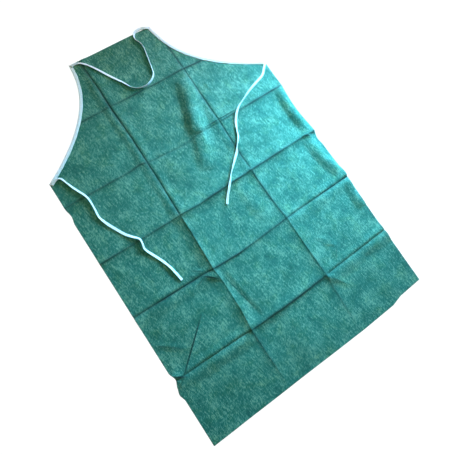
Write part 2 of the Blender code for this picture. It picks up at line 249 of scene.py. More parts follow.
@dataclass(frozen=True)
class SpunbondFinish:
    """Green spunbond polypropylene: endless fibres laid down at random and bonded with heat.

    The eye gets a matt cloth that is clouded where the fibres lie thin or thick, with pale curled
    bundles of fibres, a soft sheen from the loose ones, a grid of tiny pressed bond points, and a
    dark line of painted shade along each fold.
    """

    thin: str = "#175047"  # where few fibres lie
    middling: str = "#32695c"
    thick: str = "#7a9885"  # where many fibres scatter the light
    painted_shade: str = "#0c2a26"  # painted crease shade: the dark line along a fold
    faded: str = "#fff9e8"  # what a patch with less dye does to those colours
    faded_width: float = 40 * MM
    faded_range: tuple[float, float] = (0.50, 0.66)  # of the noise, from full dye to faded
    cloud: float = 48 * MM  # width of a cloud of fibres
    # Length, width and direction in degrees; most fibres run along the apron, as the web was
    # made. A real bundle is about 0.3 mm wide, too fine to show, so it is drawn this coarse.
    bundles: tuple[tuple[float, float, float], ...] = (
        (9 * MM, 1.6 * MM, 78),
        (18 * MM, 2.4 * MM, 101),
        (5 * MM, 2.4 * MM, 20),
    )
    bundle_range: tuple[float, float] = (0.30, 0.70)  # of the noise, from none to a bundle
    cloud_weight: float = 0.40
    bundle_weight: float = 0.25
    spread: tuple[float, float, float] = (0.38, 0.57, 0.76)  # sums for thin, middling and thick
    crease_width: float = 2.8 * MM  # half the width of the painted shade line of a short crease
    crease_core: float = 0.5  # share of the way in from its rim where it is darkest
    cloud_depth: float = 1.4 * MM
    bundle_depth: float = 0.35 * MM
    bond_pitch: float = 1.7 * MM  # between the pressed bond points, at their real size
    bond_depth: float = 0.08 * MM
    bond_radii: tuple[float, float] = (0.12, 0.36)  # a dimple's floor and rim, as pitches
    roughness: float = 0.82
    sheen: float = 0.12

    def material(self, creases: Iterable[Crease]) -> Material:
        """Builds the material from clouds, crossing bundles, painted crease shade lines and bond
        points.

        Clouds and bundles, each times its weight, add up to the shade that picks the colour.

        Args:
            creases: the short creases that get a line of painted shade.

        Returns:
            The material.
        """
        material, tree, shader = start_material("spunbond_polypropylene_green")
        place = add_node(tree, "TexCoord", {}, "Object")
        cloud = add_node(tree, "TexNoise", {"Vector": place, "Scale": 1 / self.cloud})
        bundles = [self.bundle(tree, place, *bundle) for bundle in self.bundles]
        shade = add_node(tree, "Math", {0: cloud, 1: self.cloud_weight}, operation="MULTIPLY")
        for bundle in bundles:
            inputs = {0: bundle, 1: self.bundle_weight, 2: shade}
            shade = add_node(tree, "Math", inputs, operation="MULTIPLY_ADD")
        stops = tuple(zip(self.spread, (self.thin, self.middling, self.thick)))
        colour = add_node(tree, "ValToRGB", {0: shade}, stops=stops)
        inputs = {"Vector": place, "Scale": 1 / self.faded_width}
        inputs |= {"Detail": 6.0, "Roughness": 0.62, "Distortion": 0.3}
        patch = add_node(tree, "TexNoise", inputs)
        low, high = self.faded_range
        patch = add_node(tree, "MapRange", {"Value": patch, "From Min": low, "From Max": high})
        inputs = {"Factor": patch, 6: colour, 7: linear(self.faded)}
        colour = add_node(tree, "Mix", inputs, 2, data_type="RGBA", blend_type="MULTIPLY")
        # Dark lines of painted crease shade: along the long folds from the mesh, and along the short
        # creases as ovals.
        line = add_node(tree, "Attribute", {}, "Fac", attribute_name="painted_shade")
        for crease in creases:
            crease_shade = self.painted_crease_line(tree, place, crease)
            line = add_node(tree, "Math", {0: line, 1: crease_shade}, operation="MAXIMUM")
        inputs = {"Factor": line, 6: colour, 7: linear(self.painted_shade)}
        colour = add_node(tree, "Mix", inputs, 2, data_type="RGBA")
        relief = self.relief(tree, place, cloud, bundles[0])
        inputs = {"Base Color": colour, "Normal": relief, "Roughness": self.roughness}
        inputs |= {"IOR": 1.49, "Sheen Weight": self.sheen, "Sheen Roughness": 0.5}
        feed(shader, inputs)
        return material

    def bundle(self, tree: Tree, place: Socket, length: float, width: float, turn: float) -> Socket:
        """Bundles of one kind: noise as fine as their width, drawn out along their direction.

        Args:
            tree: the material's node tree.
            place: the place on the cloth.
            length: length of a bundle.
            width: width of a bundle.
            turn: direction of the bundles from the x axis, in degrees.

        Returns:
            Where the bundles are, from 0 to 1.
        """
        scale = (length / width, 1.0, 1.0)
        inputs = {"Vector": place, "Rotation": (0, 0, math.radians(turn)), "Scale": scale}
        drawn = add_node(tree, "Mapping", inputs, vector_type="TEXTURE")
        inputs = {"Vector": drawn, "Scale": 1 / width}
        inputs |= {"Detail": 2.5, "Roughness": 0.6, "Distortion": 0.12}
        bands = add_node(tree, "TexNoise", inputs)
        low, high = self.bundle_range
        return add_node(tree, "MapRange", {"Value": bands, "From Min": low, "From Max": high})

    def painted_crease_line(self, tree: Tree, place: Socket, crease: Crease) -> Socket:
        """The painted shade line of a short crease: a thin oval that grows darker inwards.

        Args:
            tree: the material's node tree.
            place: the place on the cloth.
            crease: the crease.

        Returns:
            How dark its line is, from 0 to its own darkness.
        """
        way_x, way_y = crease.end_x - crease.x, crease.end_y - crease.y
        inputs = {
            "Vector": place,
            "Location": (crease.x + way_x / 2, crease.y + way_y / 2, 0.0),
            "Rotation": (0, 0, math.atan2(way_y, way_x)),
            "Scale": (math.hypot(way_x, way_y) / 2, self.crease_width, 1.0),
        }
        oval = add_node(tree, "Mapping", inputs, vector_type="TEXTURE")
        depth = add_node(tree, "TexGradient", {0: oval}, "Fac", gradient_type="SPHERICAL")
        inputs = {"Value": depth, "From Max": self.crease_core, "To Max": crease.painted_shade}
        return add_node(tree, "MapRange", inputs)

    def relief(self, tree: Tree, place: Socket, cloud: Socket, bundle: Socket) -> Socket:
        """The bundles' relief over the clouds' puckering, with a dimple at each bond point.

        Args:
            tree: the material's node tree.
            place: the place on the cloth.
            cloud: how thick the fibres lie.
            bundle: where the bundles of the first kind are.

        Returns:
            The normal of the surface.
        """
        inputs = {"Height": cloud, "Strength": 0.4, "Distance": self.cloud_depth}
        normal = add_node(tree, "Bump", inputs)
        inputs = {"Height": bundle, "Strength": 0.5, "Distance": self.bundle_depth}
        normal = add_node(tree, "Bump", inputs | {"Normal": normal})
        turned = add_node(tree, "Mapping", {"Vector": place, "Rotation": (0, 0, math.pi / 4)})
        inputs = {"Vector": turned, "Scale": 1 / self.bond_pitch, "Randomness": 0.0}
        bonds = add_node(tree, "TexVoronoi", inputs, "Distance", voronoi_dimensions="2D")
        low, high = self.bond_radii
        dimples = add_node(tree, "MapRange", {"Value": bonds, "From Min": low, "From Max": high})
        inputs = {"Height": dimples, "Strength": 0.25, "Distance": self.bond_depth}
        return add_node(tree, "Bump", inputs | {"Normal": normal})


@dataclass(frozen=True)
class TapeFinish:
    """White nonwoven polypropylene binding tape: thin, soft and slightly translucent.

    The eye gets a bright matt white with faint lengthwise fibres, greyer in the low spots of its
    relief:
    where the tape is thin, and painted shade in the hollows of its crumples.
    """

    white: str = "#ffe2ea"  # a little pink, because the light on it is blue-green
    shade: str = "#dcc6d6"  # low spots of the fibres and crumples: where the tape is thin, and painted shade in the crumples' hollows
    shade_range: tuple[float, float] = (0.45, 0.8)  # of the noise, from shade to white
    fibre_length: float = 9 * MM
    fibre_width: float = 0.9 * MM  # drawn coarser than the real 0.3 mm, which doesn't show
    fibre_weight: float = 0.5  # beside a weight of 1 for the crumples
    crumple: float = 3.5 * MM  # width of a crumple across the tape
    crumple_depth: float = 0.4 * MM
    roughness: float = 0.7
    sheen: float = 0.1

    def material(self) -> Material:
        """Builds the material on the tape's own UV map, where u runs along the tape.

        Returns:
            The material.
        """
        material, tree, shader = start_material("nonwoven_polypropylene_tape_white")
        place = add_node(tree, "UVMap", {}, uv_map="flat")
        scale = (self.fibre_width / self.fibre_length, 1.0, 1.0)
        drawn = add_node(tree, "Mapping", {"Vector": place, "Scale": scale})
        inputs = {"Vector": drawn, "Scale": 1 / self.fibre_width, "Detail": 3.0}
        fibres = add_node(tree, "TexNoise", inputs | {"Distortion": 0.6})
        inputs = {"Vector": place, "Scale": 1 / self.crumple, "Detail": 2.0}
        crumples = add_node(tree, "TexNoise", inputs | {"Distortion": 0.3})
        inputs = {0: fibres, 1: self.fibre_weight, 2: crumples}
        both = add_node(tree, "Math", inputs, operation="MULTIPLY_ADD")
        # the grey falls in the relief's low spots, partly painted shade in the crumples' hollows
        stops = tuple(zip(self.shade_range, (self.shade, self.white)))
        colour = add_node(tree, "ValToRGB", {0: both}, stops=stops)
        inputs = {"Height": both, "Strength": 0.6, "Distance": self.crumple_depth}
        relief = add_node(tree, "Bump", inputs)
        inputs = {"Base Color": colour, "Normal": relief, "Roughness": self.roughness}
        feed(shader, inputs | {"IOR": 1.49, "Sheen Weight": self.sheen})
        return material


@dataclass(frozen=True)
class ThreadFinish:
    """White spun polyester sewing thread: plies twisted together.

    The eye gets a white with a slight lustre, and faintly darker grooves that are painted shade.
    """

    white: str = "#f4f6f8"
    painted_groove_shade: str = "#c9d2da"  # painted shade in the grooves between the plies
    groove_range: tuple[float, float] = (0.1, 0.6)  # of the bands, from groove to ply
    ply: float = 6.283 * MM  # a real ply repeats each 0.5 mm, too fine to show on a stitch
    roughness: float = 0.55

    def material(self) -> Material:
        """Builds the material from slanting bands, which repeat each 0.2 pi over their scale.

        Returns:
            The material.
        """
        material, tree, shader = start_material("spun_polyester_thread_white")
        place = add_node(tree, "UVMap", {}, uv_map="flat")
        inputs = {"Vector": place, "Scale": 0.2 * math.pi / self.ply, "Distortion": 0.5}
        plies = add_node(tree, "TexWave", inputs, "Fac", bands_direction="DIAGONAL")
        stops = tuple(zip(self.groove_range, (self.painted_groove_shade, self.white)))
        colour = add_node(tree, "ValToRGB", {0: plies}, stops=stops)
        feed(shader, {"Base Color": colour, "Roughness": self.roughness})
        return material


@dataclass(frozen=True)
class FloorFinish:
    """Smooth white paper, made in one wide roll.

    The eye gets an even matt white. It glows, so that it stays white far from the lamps.
    """

    pale: str = "#5f6163"
    glow_colour: str = "#ffffff"
    glow: float = 1.0

    def material(self) -> Material:
        """Builds a plain material: paper has no grain that shows at this distance.

        Returns:
            The material.
        """
        material, _, shader = start_material("studio_paper_white")
        inputs = {"Base Color": linear(self.pale), "Roughness": 0.9, "Specular IOR Level": 0.2}
        inputs |= {"Emission Color": linear(self.glow_colour), "Emission Strength": self.glow}
        feed(shader, inputs)
        return material


# The cut of the apron


class LinePoint(NamedTuple):
    """A place on a cut edge or a fold, seen from above."""

    x: float
    y: float


class Side(Enum):
    """Which side of the apron, as the sign of its x."""

    LEFT = -1
    RIGHT = 1


class Armhole(NamedTuple):
    """An armhole edge, which falls from the bib corner to the waist corner as a power curve."""

    side: Side
    bib_x: float
    waist_x: float
    waist_y: float
    straight: float  # share of a straight line in the curve
    bend: float  # power of the rest


class Nick(NamedTuple):
    """A stretch where a side edge wanders in or out."""

    side: Side
    y: float
    half_length: float
    outward: float


LEFT_ARMHOLE = Armhole(Side.LEFT, -0.152, -0.374, 0.262, 0.08, 2.35)
RIGHT_ARMHOLE = Armhole(Side.RIGHT, 0.118, 0.374, 0.282, 0.20, 2.60)


@dataclass(frozen=True)
class ApronCut:
    """The outline that the cloth is cut to, the same as the CAD panel's."""

    hem_y: float = -0.556
    bib_y: float = 0.557
    knee_y: float = -0.368  # the cut of the hem shifts the cloth below this fold
    chest_y: float = 0.382  # the cut of the bib's top shifts the cloth above this fold
    hem: tuple[LinePoint, ...] = rows_of(
        LinePoint,
        (-0.374, -0.548), (-0.100, -0.552), (0.136, -0.556), (0.256, -0.554), (0.292, -0.546),
        (0.374, -0.543),
    )
    bib: tuple[LinePoint, ...] = rows_of(LinePoint, (-0.152, 0.552), (0.118, 0.557))
    nicks: tuple[Nick, ...] = rows_of(
        Nick,
        (Side.LEFT, 0.156, 0.026, -4 * MM),
        (Side.LEFT, -0.356, 0.022, -7 * MM),
        (Side.LEFT, -0.396, 0.022, 5 * MM),
        (Side.RIGHT, 0.110, 0.105, -7 * MM),
        (Side.RIGHT, -0.016, 0.028, -4 * MM),
        (Side.RIGHT, -0.152, 0.034, 5 * MM),
    )
    edge_samples: int = 400  # places that an armhole edge is measured along
    edge_step: float = 2 * MM  # between the places that distances to it are taken from

    def side_x(self, armhole: Armhole, y: Array) -> Array:
        """Where an armhole's edge, and below it the side edge, lies.

        Above the waist corner the edge goes from bib_x to waist_x by the share
        straight * fall + (1 - straight) * fall ** bend. Below it each nick adds a bump of the
        squared cosine.

        Args:
            armhole: the armhole on that side.
            y: heights on the apron.

        Returns:
            The x of the edge at each height.
        """
        fall = np.clip((self.bib_y - y) / (self.bib_y - armhole.waist_y), 0.0, 1.0)
        share = armhole.straight * fall + (1 - armhole.straight) * fall**armhole.bend
        outward = np.zeros_like(y)
        for nick in self.nicks:
            if nick.side is armhole.side:
                reach = np.clip(np.abs(y - nick.y) / nick.half_length, 0.0, 1.0)
                outward += nick.outward * np.cos(np.pi / 2 * reach) ** 2
        return blend(armhole.bib_x, armhole.waist_x, share) + outward * armhole.side.value

    def cut_y(self, cut: tuple[LinePoint, ...], x: Array) -> Array:
        """Height of a hand-cut edge: straight lines between its points."""
        return np.interp(x, *zip(*cut))

    def fit_cuts(self, x: Array, y: Array) -> Array:
        """Shifts the top and bottom fields so that their last rows follow the cut edges.

        Args:
            x: places across the apron.
            y: places along it, with a straight hem and bib top.

        Returns:
            The places along it, shifted.
        """
        above = np.clip((y - self.chest_y) / (self.bib_y - self.chest_y), 0.0, None)
        below = np.clip((self.knee_y - y) / (self.knee_y - self.hem_y), 0.0, None)
        y = y + (self.cut_y(self.bib, x) - self.bib_y) * above
        return y + (self.cut_y(self.hem, x) - self.hem_y) * below

    def edge(self, armhole: Armhole, step: float) -> Array:
        """Places along an armhole edge, evenly spaced, from the waist corner to the bib corner.

        Args:
            armhole: the armhole.
            step: about how far apart the places are.

        Returns:
            The places, as rows of x and y.
        """
        y = np.linspace(armhole.waist_y, self.bib_y, self.edge_samples)
        x = self.side_x(armhole, y)
        points = np.stack([x, self.fit_cuts(x, y)], axis=-1)
        travelled = along_line(points)
        goals = np.linspace(0.0, travelled[-1], round(travelled[-1] / step) + 1)
        return read_off(points, travelled, goals)

    def edge_distance(self, x: Array, y: Array) -> Array:
        """Distance from each place to the nearest point of either armhole edge.

        Args:
            x: places across the apron.
            y: places along it.

        Returns:
            The distance of each place.
        """
        edges = [self.edge(armhole, self.edge_step) for armhole in (LEFT_ARMHOLE, RIGHT_ARMHOLE)]
        nearest = np.full(x.shape, np.inf)
        for edge_x, edge_y in np.concatenate(edges):
            nearest = np.minimum(nearest, np.hypot(x - edge_x, y - edge_y))
        return nearest

    def inside(self, x: Array, y: Array) -> Array:
        """Whether each place is on the cloth."""
        across = (x > self.side_x(LEFT_ARMHOLE, y)) & (x < self.side_x(RIGHT_ARMHOLE, y))
        return across & (y > self.cut_y(self.hem, x)) & (y < self.cut_y(self.bib, x))


# The folds


class LongFold(NamedTuple):
    """A fold from edge to edge, which differs in each field that it passes.

    The fields are counted from the bib down beside a fold along the apron, and from the left
    beside a fold across it.
    """

    line: tuple[LinePoint, ...]
    painted_shade: tuple[float, ...]  # how dark the shade painted along its line is in each field
    heights_mm: tuple[float, ...]  # of the ridge in each field, or below nought of the valley
    seed: float  # starts the wander of its height
    mark_seed: float  # starts the wander of its line's darkness


class FoldView(NamedTuple):
    """A long fold as a set of places sees it."""

    fold: LongFold
    distance: Array  # from its line, to the east or north
    along: Array
    shares: list[Array]  # how far each field holds, from 0 to 1
    fade: Array | float  # how far the fold is there at all
    reach: float
    far: float  # how much farther a valley reaches on its west or south side


class SoftFold(NamedTuple):
    """A rounded wave from its start to its end, whose middle bows to the left of that line."""

    x: float
    y: float
    end_x: float
    end_y: float
    bow: float
    left: float  # reach on the left of the line
    right: float
    height_mm: float


class Pucker(NamedTuple):
    """A small peak where folds cross."""

    x: float
    y: float
    reach: float
    height_mm: float


class Wave(NamedTuple):
    """A sine wave over the whole sheet."""

    length: float  # over 2 pi
    direction: float  # degrees
    start: float
    swing_mm: float


@dataclass(frozen=True)
class ClothFolds:
    """Height of the cloth over the floor: folds, waves, creases and a slow unevenness.

    The apron was folded once across its middle, then in thirds lengthwise, then across again,
    so each fold is a ridge in some fields and a valley in the others.
    """

    cut: ApronCut = ApronCut()
    seat: float = 1.1 * MM  # height of the cloth over the armhole tape's lower leaf
    level_reach: float = 0.016  # from the armhole edge to here the cloth lies level
    folded_reach: float = 0.042  # from here on it has its whole folds
    length_reach: float = 0.030  # of the folds along the apron
    cross_reach: float = 0.026  # of the folds across it
    hem_fade: float = 0.11  # the lengthwise folds flatten over this height above the hem
    fold_end: float = 0.022  # a fold fades in over this length before a crossing
    flank: float = 1.35  # power of a ridge's flanks, which are nearly straight
    gentle: float = 1.7  # how much wider a ridge is on its east or north side
    far_shoulder: float = 1.7  # how much wider a valley across the apron is on its south side
    low_shoulder: float = 0.65  # share of a valley's height on its east or north side
    shoulder_peak: float = 6.75  # makes q (1 - q)^2 peak at 1
    pinch: float = 3.6 * MM  # how far the sharp line of a fold reaches
    pinch_mm: float = 1.3  # its height on a fold of pinch_full_mm or more
    pinch_full_mm: float = 2.0
    lip: float = 1.2  # how much deeper the sharp line of a valley is
    crease_ends: float = 0.6  # power of the sine that a crease rises and falls by
    painted_shade: float = 2.4 * MM  # half the width of the dark line painted along a fold as the shade in its crease
    shade_band_width: float = 7 * MM  # and of the softer band of painted shade beside it
    # how dark that band of painted shade is, as a share of the line's darkness
    shade_band_depth: float = 0.34
    # Length over 2 pi, swing, and how far the seed shifts each wave along a fold.
    wander: tuple[tuple[float, float, float], ...] = (
        (0.013, 0.10, 1.7),
        (0.031, 0.13, 2.7),
        (0.083, 0.15, 3.7),
    )
    length_folds: tuple[LongFold, ...] = (
        LongFold(
            rows_of(
                LinePoint,
                (-0.121, 0.533), (-0.118, 0.439), (-0.120, 0.380), (-0.117, 0.277), (-0.119, 0.114),
                (-0.123, 0.006), (-0.122, -0.047), (-0.128, -0.175), (-0.124, -0.212),
                (-0.125, -0.303), (-0.132, -0.369), (-0.131, -0.509),
            ),
            (0.95, 0.95, 0.95, 0.50, 0.40, 0.70),
            (-1.6, -2.0, -1.8, 4.6, 4.2, 1.6),
            seed=2.3,
            mark_seed=7.7,
        ),
        LongFold(
            rows_of(
                LinePoint,
                (0.134, 0.472), (0.133, 0.183), (0.130, 0.069), (0.129, 0.009), (0.130, -0.093),
                (0.135, -0.169), (0.136, -0.369), (0.129, -0.507),
            ),
            (0.95, 0.90, 0.80, 0.90, 0.60, 0.45),
            (-0.8, -1.2, -1.0, 1.9, 2.0, 0.8),
            seed=3.3,
            mark_seed=8.7,
        ),
    )
    cross_folds: tuple[LongFold, ...] = (
        LongFold(
            rows_of(LinePoint, (-0.183, 0.381), (0.193, 0.383)),
            (0.7, 0.85, 0.95),
            (1.2, 1.6, 1.8),
            seed=5.1,
            mark_seed=3.1,
        ),
        LongFold(
            rows_of(
                LinePoint,
                (-0.372, 0.185), (-0.173, 0.184), (-0.138, 0.188), (-0.118, 0.182), (-0.014, 0.175),
                (0.079, 0.182), (0.133, 0.183), (0.289, 0.188), (0.366, 0.189),
            ),
            (0.75, 0.40, 0.95),
            (1.6, -1.3, 2.4),
            seed=7.0,
            mark_seed=4.1,
        ),
        LongFold(
            rows_of(
                LinePoint,
                (-0.370, 0.003), (-0.127, 0.003), (-0.059, 0.001), (0.129, 0.008), (0.339, 0.012),
                (0.366, 0.010),
            ),
            (0.75, 0.95, 0.85),
            (3.0, 5.4, 5.0),
            seed=8.9,
            mark_seed=5.1,
        ),
        LongFold(
            rows_of(
                LinePoint,
                (-0.374, -0.164), (-0.157, -0.171), (-0.123, -0.174), (-0.040, -0.177),
                (0.136, -0.169), (0.364, -0.165),
            ),
            (0.95, 0.95, 0.85),
            (-2.0, 1.6, -2.4),
            seed=10.8,
            mark_seed=6.1,
        ),
        LongFold(
            rows_of(
                LinePoint,
                (-0.366, -0.360), (-0.203, -0.366), (-0.132, -0.369), (0.036, -0.372),
                (0.136, -0.369), (0.259, -0.366), (0.372, -0.363),
            ),
            (0.60, 0.90, 0.60),
            (-2.8, 2.8, -2.8),
            seed=12.7,
            mark_seed=7.1,
        ),
    )
    soft_folds: tuple[SoftFold, ...] = rows_of(
        SoftFold,
        (0.114, 0.354, 0.048, 0.186, 0.002, 0.044, 0.033, 10.5),
        (0.080, 0.262, 0.016, 0.076, 0.000, 0.050, 0.029, 7.5),
        (0.124, 0.420, 0.090, 0.270, 0.000, 0.036, 0.046, 3.2),
        (0.076, 0.212, 0.056, 0.138, 0.000, 0.014, 0.020, 3.0),
        (0.360, 0.190, 0.360, 0.008, -0.007, 0.024, 0.026, 8.5),
        (0.344, 0.006, 0.376, -0.162, -0.012, 0.026, 0.030, 7.6),
        (0.376, -0.170, 0.364, -0.270, -0.008, 0.024, 0.026, 6.0),
        (-0.116, -0.176, -0.086, -0.372, 0.000, 0.012, 0.032, -3.0),
        (-0.040, -0.392, -0.030, -0.540, 0.000, 0.060, 0.060, 1.8),
        (0.285, -0.400, 0.282, -0.540, 0.000, 0.050, 0.050, 2.0),
        (-0.090, 0.020, -0.070, -0.160, 0.000, 0.050, 0.040, 1.6),
        (0.070, -0.010, 0.085, -0.150, 0.000, 0.050, 0.030, 2.0),
        (-0.090, 0.176, -0.010, 0.050, 0.000, 0.060, 0.060, 1.8),
        (0.250, -0.300, 0.340, -0.400, 0.000, 0.060, 0.050, 1.8),
        (0.040, 0.530, 0.105, 0.430, 0.000, 0.040, 0.040, 1.8),
    )
    creases: tuple[Crease, ...] = rows_of(
        Crease,
        (-0.372, -0.384, -0.206, -0.244, 0.011, 2.0, 1.0),
        (-0.370, -0.346, -0.338, -0.368, 0.008, 2.4, 1.0),
        (-0.368, -0.254, -0.302, -0.309, 0.010, 1.1, 0.35),
        (-0.168, -0.169, -0.124, -0.209, 0.009, 2.0, 1.0),
        (-0.184, -0.142, -0.150, -0.168, 0.008, -1.8, 0.6),
        (0.060, 0.190, 0.222, 0.192, 0.008, 1.2, 0.8),
        (0.328, 0.016, 0.355, 0.001, 0.010, 3.0, 1.0),
        (0.348, 0.002, 0.376, 0.011, 0.008, 1.0, 0.8),
        (0.128, -0.354, 0.145, -0.394, 0.008, 1.2, 0.25),
        (0.140, -0.376, 0.178, -0.432, 0.012, 1.4, 0.4),
        (0.188, -0.352, 0.222, -0.312, 0.009, 1.2, 0.3),
        (0.205, -0.356, 0.236, -0.330, 0.008, -0.8), (-0.318, 0.172, -0.300, 0.140, 0.007, 0.7),
        (-0.310, 0.178, -0.288, 0.152, 0.007, 0.7), (0.166, 0.322, 0.170, 0.270, 0.006, 0.8),
        (0.158, 0.300, 0.184, 0.288, 0.006, -0.6), (0.040, 0.372, 0.058, 0.358, 0.006, 0.8),
        (-0.150, 0.196, -0.112, 0.214, 0.007, 1.0),
        (-0.116, -0.192, -0.084, -0.358, 0.009, 0.3, 0.45),
        (-0.128, -0.365, 0.134, -0.365, 0.013, 1.5, 0.0),
        (0.020, -0.470, -0.030, -0.500, 0.008, 0.5), (-0.300, -0.120, -0.330, -0.080, 0.009, 0.6),
        (0.172, -0.262, 0.214, -0.300, 0.008, 1.2), (0.180, -0.284, 0.224, -0.322, 0.008, 1.2),
        (-0.112, 0.196, -0.080, 0.216, 0.007, 0.9),
        (-0.200, -0.150, -0.168, -0.172, 0.007, 1.2, 0.4),
        (-0.190, -0.190, -0.158, -0.176, 0.007, 1.2, 0.4),
    )
    puckers: tuple[Pucker, ...] = rows_of(
        Pucker,
        (-0.119, 0.382, 0.014, 1.0), (0.134, 0.382, 0.012, 0.8), (-0.120, 0.186, 0.016, 1.4),
        (0.134, 0.184, 0.012, 1.0), (-0.116, 0.004, 0.012, 1.6), (0.126, 0.010, 0.014, 2.0),
        (-0.134, -0.190, 0.018, 1.4), (0.138, -0.170, 0.013, 1.4), (-0.131, -0.369, 0.014, 1.4),
        (0.134, -0.372, 0.014, 1.0), (-0.364, -0.362, 0.022, 3.0),
    )
    slow_waves: tuple[Wave, ...] = rows_of(
        Wave,
        (0.030, 20, 0.4, 0.34),
        (0.024, 75, 2.1, 0.24),
        (0.017, 130, 1.2, 0.16),
        (0.0095, 48, 3.3, 0.07),
        (0.0075, 105, 0.9, 0.05),
    )

    def length_x(self, fold: LongFold, y: Array) -> Array:
        """Where a lengthwise fold lies at each height: straight lines between its points."""
        x_places, y_places = zip(*fold.line[::-1])
        return np.interp(y, y_places, x_places)

    def cross_y(self, fold: LongFold, x: Array) -> Array:
        """Where a fold across the apron lies at each x: straight lines between its points."""
        return np.interp(x, *zip(*fold.line))

    def profile(self, distance: Array, reach: float, height_mm: float, far: float = 1.0) -> Array:
        """Height across a fold, in millimetres.

        With d the distance, q its share of the reach and e = exp(-d / pinch), a ridge is
        h (1 - q)^flank + s e (1 - q), and a valley (6.75 h q + lip s (1 - e)) (1 - q)^2: nought
        on its line, between two shoulders. The sharp line's s grows with h up to pinch_mm.

        Args:
            distance: from the fold's line, above nought to the east, the north or the left.
            reach: where the fold's height ends.
            height_mm: of the crest, or below nought of the shoulders.
            far: how much farther a valley's shoulder reaches on its west or south side.

        Returns:
            The height at each distance.
        """
        away = np.abs(distance)
        line = np.exp(-away / self.pinch)
        sharp = self.pinch_mm * min(abs(height_mm) / self.pinch_full_mm, 1.0)
        if height_mm > 0:
            share = np.clip(away / (reach * np.where(distance > 0, self.gentle, 1.0)), 0.0, 1.0)
            return height_mm * (1 - share) ** self.flank + sharp * line * (1 - share)
        share = np.clip(away / (reach * np.where(distance > 0, 1.0, far)), 0.0, 1.0)
        shoulder = -height_mm * self.shoulder_peak * share
        shoulder *= np.where(distance > 0, self.low_shoulder, 1.0)
        return (shoulder + self.lip * sharp * (1 - line)) * (1 - share) ** 2

    def weight(self, place: Array, start: Array | float, end: Array | float) -> Array:
        """1 between start and end, easing to 0 across each of them."""
        rise = smooth_step((place - start + self.fold_end) / (2 * self.fold_end))
        return rise * smooth_step((end + self.fold_end - place) / (2 * self.fold_end))

    def uneven(self, along: Array, seed: float) -> Array:
        """A share near 1 that wanders along a fold: three sines whose lengths don't agree."""
        waves = (swing * np.sin(along / length + seed * shift) for length, swing, shift in self.wander)
        return 1 + sum(waves)

    def views(self, x: Array, y: Array) -> Iterator[FoldView]:
        """How each long fold lies to each place.

        Args:
            x: places across the apron.
            y: places along it.

        Returns:
            The folds along the apron, and then those across it, one after another.
        """
        rows = [FAR, *(self.cross_y(fold, x) for fold in self.cross_folds), -FAR]
        columns = [-FAR, *(self.length_x(fold, y) for fold in self.length_folds), FAR]
        down = [self.weight(y, low, high) for high, low in zip(rows, rows[1:])]
        right = [self.weight(x, low, high) for low, high in zip(columns, columns[1:])]
        fade = smooth_step((y - self.cut.hem_y) / self.hem_fade)
        for fold, line in zip(self.length_folds, columns[1:]):
            yield FoldView(fold, x - line, y, down, fade, self.length_reach, 1.0)
        for fold, line in zip(self.cross_folds, rows[1:]):
            yield FoldView(fold, y - line, x, right, 1.0, self.cross_reach, self.far_shoulder)

    def long_height(self, x: Array, y: Array) -> Array:
        """Height that the long folds give: each one's profile in each field that it passes.

        Args:
            x: places across the apron.
            y: places along it.

        Returns:
            The heights, in millimetres.
        """
        total = np.zeros_like(x)
        for view in self.views(x, y):
            swell = self.uneven(view.along, view.fold.seed) * view.fade
            for share, height_mm in zip(view.shares, view.fold.heights_mm):
                shape = self.profile(view.distance, view.reach, height_mm, view.far)
                total += shape * share * swell
        return total

    def painted_shade_share(self, x: Array, y: Array) -> Array:
        """How dark each place is: a line of painted shade along every long fold, over a softer band of
        it.

        Each is a bell curve exp(-(d / w)^2) of the distance, times the fold's darkness in that
        field, and wanders along the fold. The darkest fold counts.

        Args:
            x: places across the apron.
            y: places along it.

        Returns:
            The darkness of each place, from 0 to 1.
        """
        total = np.zeros_like(x)
        for view in self.views(x, y):
            depth = sum(share * dark for share, dark in zip(view.shares, view.fold.painted_shade))
            line = np.exp(-((view.distance / self.painted_shade) ** 2))
            band = self.shade_band_depth * np.exp(-((view.distance / self.shade_band_width) ** 2))
            swell = self.uneven(view.along, view.fold.mark_seed) * view.fade
            total = np.maximum(total, swell * depth * (line + band * (1 - line)))
        return np.clip(total, 0.0, 1.0)

    def beside(self, fold: SoftFold | Crease, x: Array, y: Array) -> tuple[Array, Array]:
        """Share of the way along a fold, and the distance to its left, of each place.

        Args:
            fold: a fold or crease that runs from one place to another.
            x: places across the apron.
            y: places along it.

        Returns:
            The shares, from 0 at its start to 1 at its end, and the distances.
        """
        way_x, way_y = fold.end_x - fold.x, fold.end_y - fold.y
        length = math.hypot(way_x, way_y)
        off_x, off_y = x - fold.x, y - fold.y
        share = (off_x * way_x + off_y * way_y) / length**2
        return share, (way_x * off_y - way_y * off_x) / length

    def soft_height(self, x: Array, y: Array) -> Array:
        """Height of the rounded folds: h * sqrt(sin(pi s)) * (1 - a^2)^2 with s along, a across.

        Args:
            x: places across the apron.
            y: places along it.

        Returns:
            The heights, in millimetres.
        """
        total = np.zeros_like(x)
        for fold in self.soft_folds:
            share, aside = self.beside(fold, x, y)
            rise = np.sin(np.pi * np.clip(share, 0.0, 1.0))
            aside = aside - fold.bow * rise
            across = np.clip(np.abs(aside) / np.where(aside > 0, fold.left, fold.right), 0.0, 1.0)
            total += fold.height_mm * np.sqrt(rise) * (1 - across**2) ** 2
        return total

